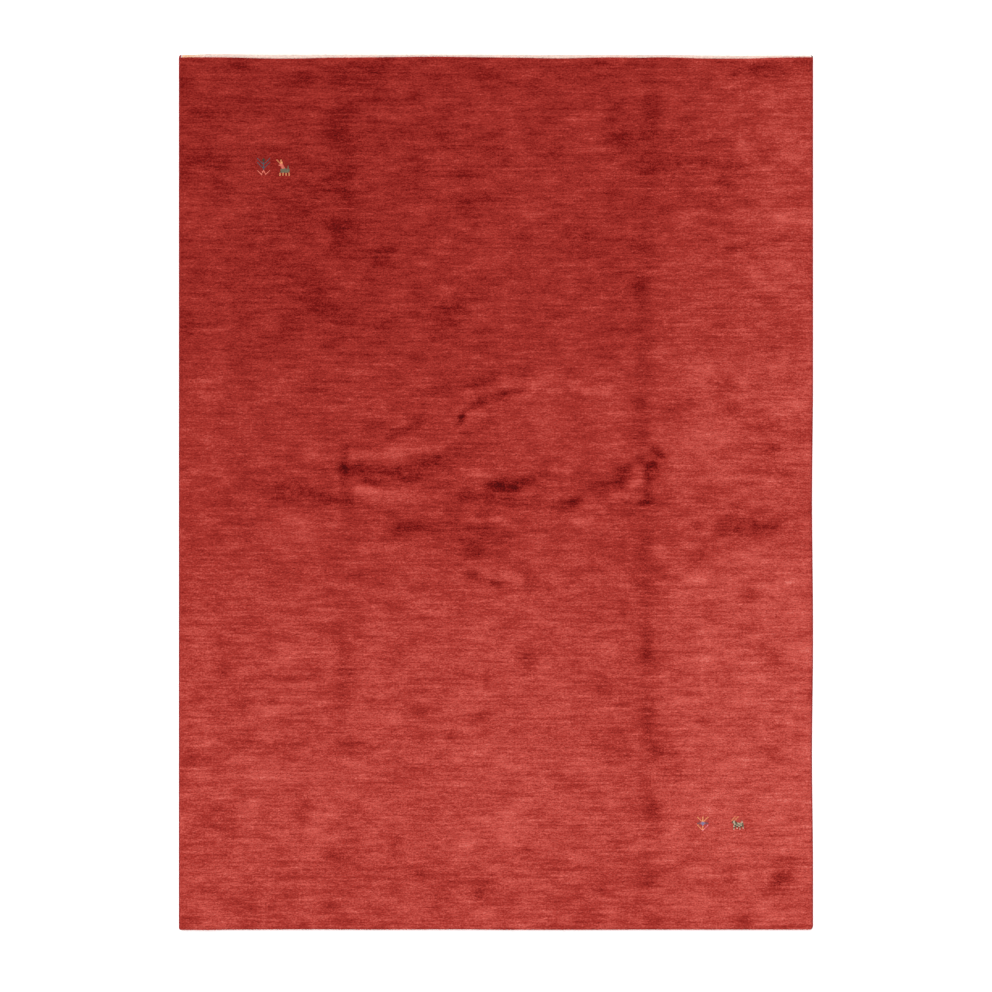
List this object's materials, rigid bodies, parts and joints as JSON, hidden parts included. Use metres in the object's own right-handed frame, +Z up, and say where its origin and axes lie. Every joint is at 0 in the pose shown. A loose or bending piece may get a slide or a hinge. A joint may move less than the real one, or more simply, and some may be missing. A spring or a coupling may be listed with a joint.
{
  "type": "gabbeh rug",
  "caption": "Flat hand-knotted wool pile rug, plain red field with small animal and plant motifs near two corners, a cream end web and overcast side cords.",
  "frame": {"origin": "middle of the underside, on the floor", "axes": "+Z up through the pile, +Y along the rug to the end with the cream web, +X to the right of someone looking along +Y"},
  "size_m": [1.71, 2.3618, 0.0119],
  "materials": {
    "pile": "short cut wool pile, madder red with lighter and darker dye bands",
    "web": "undyed cream wool flatweave",
    "cord": "crimson wool wrapped over the outer warps"
  },
  "bodies": {
    "root": {"pile_field": "pile", "end_web": "web", "side_cord_left": "cord", "side_cord_right": "cord"}
  },
  "joints": []
}
